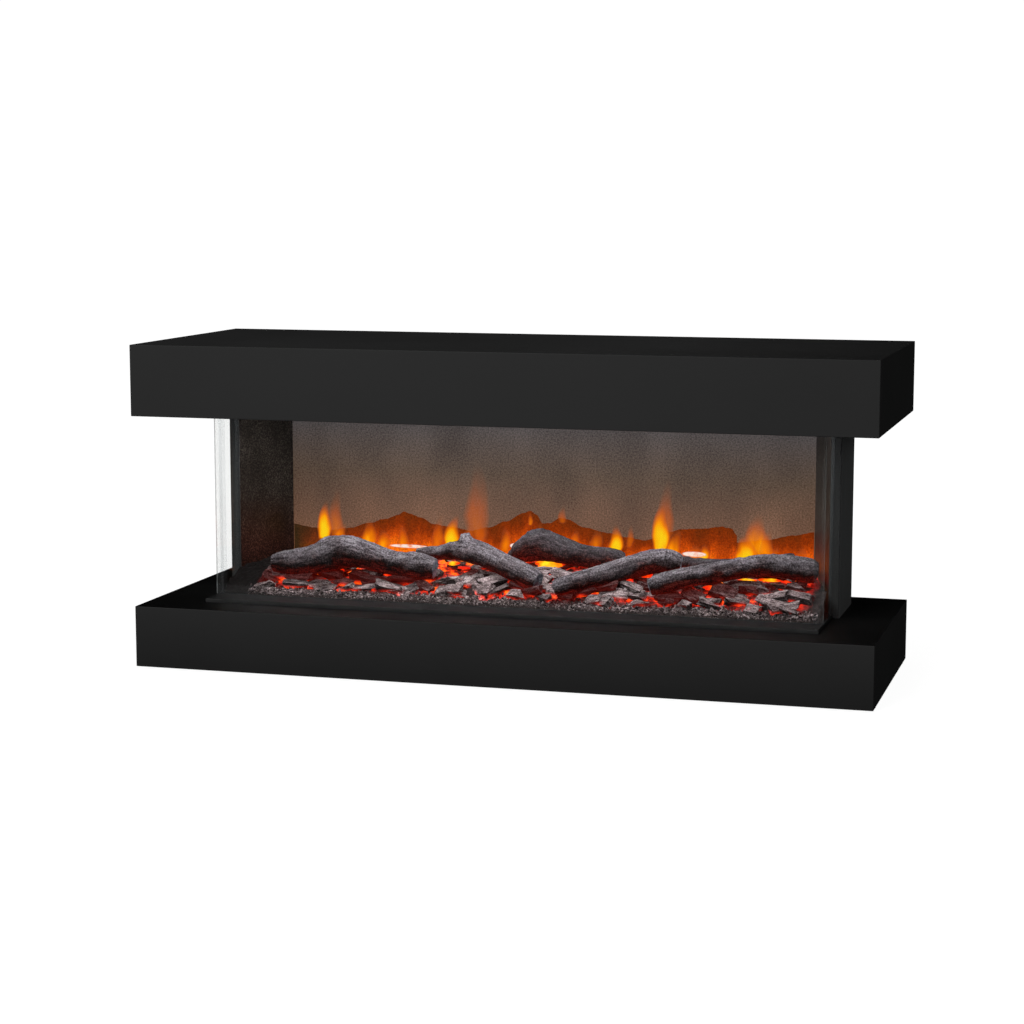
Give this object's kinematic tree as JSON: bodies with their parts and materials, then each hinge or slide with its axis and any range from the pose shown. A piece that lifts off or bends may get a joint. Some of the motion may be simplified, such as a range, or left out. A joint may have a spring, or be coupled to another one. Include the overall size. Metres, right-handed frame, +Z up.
{
  "type": "electric fireplace",
  "caption": "Electric fireplace suite: black mantel box over a black plinth box, joined by a firebox glazed on three sides with logs, glowing embers and a flame screen.",
  "frame": {"origin": "on the floor, under the middle of the box that holds the whole object", "axes": "+Z up; the front (the glass) faces -Y; +X to the right of someone facing the front"},
  "size_m": [1.23, 0.45, 0.54],
  "materials": {
    "black_lacquer": "satin black lacquer on fibreboard",
    "plain_board": "black-stained fibreboard",
    "black_steel": "matt black powder coat",
    "bright_steel": "bright sheet",
    "motor_steel": "zinc grey",
    "aluminium": "plain",
    "clear_glass": "clear toughened",
    "clear_seal": "clear silicone",
    "mirror_screen": "half-mirror diffuser",
    "charred_log": "painted resin, ash over char",
    "ember_resin": "translucent resin, ash over red",
    "lamp_board": "white board with lamps",
    "circuit_board": "green board",
    "black_plastic": "moulded black",
    "nylon": "natural"
  },
  "bodies": {
    "suite": {"back_log": "charred_log", "cable_gland": "black_plastic", "casing_screws": "bright_steel", "centre_log": "charred_log", "control_bezel": "black_plastic", "control_board": "circuit_board", "corner_blocks": "plain_board", "crossing_log": "charred_log", "ember_bed": "ember_resin", "ember_chips": "ember_resin", "ember_led_strips": "lamp_board", "fan_bearing": "aluminium", "fan_motor": "motor_steel", "firebox_top_panel": "black_steel", "flame_led_board": "lamp_board", "flame_mask": "bright_steel", "flame_screen": "mirror_screen", "front_glass": "clear_glass", "glass_seals": "clear_seal", "glass_tray": "black_steel", "hanger_rail": "black_steel", "heater_housing": "bright_steel", "heating_element": "aluminium", "infrared_window": "black_plastic", "knotted_log": "charred_log", "left_column": "black_steel", "left_glass": "clear_glass", "left_liner": "black_steel", "left_log": "charred_log", "log_light_strip": "lamp_board", "mantel_back_panel": "plain_board", "mantel_bottom_board": "black_lacquer", "mantel_front_board": "black_lacquer", "mantel_left_board": "black_lacquer", "mantel_right_board": "black_lacquer", "mantel_top_board": "black_lacquer", "plinth_back_rail": "plain_board", "plinth_front_board": "black_lacquer", "plinth_glides": "nylon", "plinth_left_board": "black_lacquer", "plinth_right_board": "black_lacquer", "plinth_top_board": "black_lacquer", "power_board": "circuit_board", "rear_back_panel": "black_steel", "rear_reflector": "bright_steel", "right_column": "black_steel", "right_glass": "clear_glass", "right_liner": "black_steel", "right_log": "charred_log", "spindle_bearings": "bright_steel", "spindle_motor": "motor_steel", "thermal_cutout": "nylon", "wall_rail": "black_steel", "warm_air_grille": "black_steel"},
    "flame_spindle": {"flame_spindle": "bright_steel"},
    "fan_impeller": {"fan_impeller": "aluminium"},
    "rocker_switch": {"rocker_switch": "black_plastic"},
    "standby_button": {"standby_button": "black_plastic"},
    "flame_button": {"flame_button": "black_plastic"},
    "heat_button": {"heat_button": "black_plastic"}
  },
  "joints": [
    {"name": "flame_spindle_spin", "type": "hinge", "parent": "suite", "child": "flame_spindle", "pos_m": [0, 0.166, 0.142], "axis": [1, 0, 0], "continuous": true},
    {"name": "fan_spin", "type": "hinge", "parent": "suite", "child": "fan_impeller", "pos_m": [0, -0.138, 0.48], "axis": [1, 0, 0], "continuous": true},
    {"name": "rocker_tilt", "type": "hinge", "parent": "suite", "child": "rocker_switch", "pos_m": [0.392, -0.141, 0.425], "axis": [0, 1, 0], "range_deg": [0, 16]},
    {"name": "standby_button_press", "type": "slide", "parent": "suite", "child": "standby_button", "axis": [0, 0, 1], "range_m": [0, 0.0012], "stiffness_N_per_m": 300, "springref_m": -0.001},
    {"name": "flame_button_press", "type": "slide", "parent": "suite", "child": "flame_button", "axis": [0, 0, 1], "range_m": [0, 0.0012], "stiffness_N_per_m": 300, "springref_m": -0.001},
    {"name": "heat_button_press", "type": "slide", "parent": "suite", "child": "heat_button", "axis": [0, 0, 1], "range_m": [0, 0.0012], "stiffness_N_per_m": 300, "springref_m": -0.001}
  ]
}
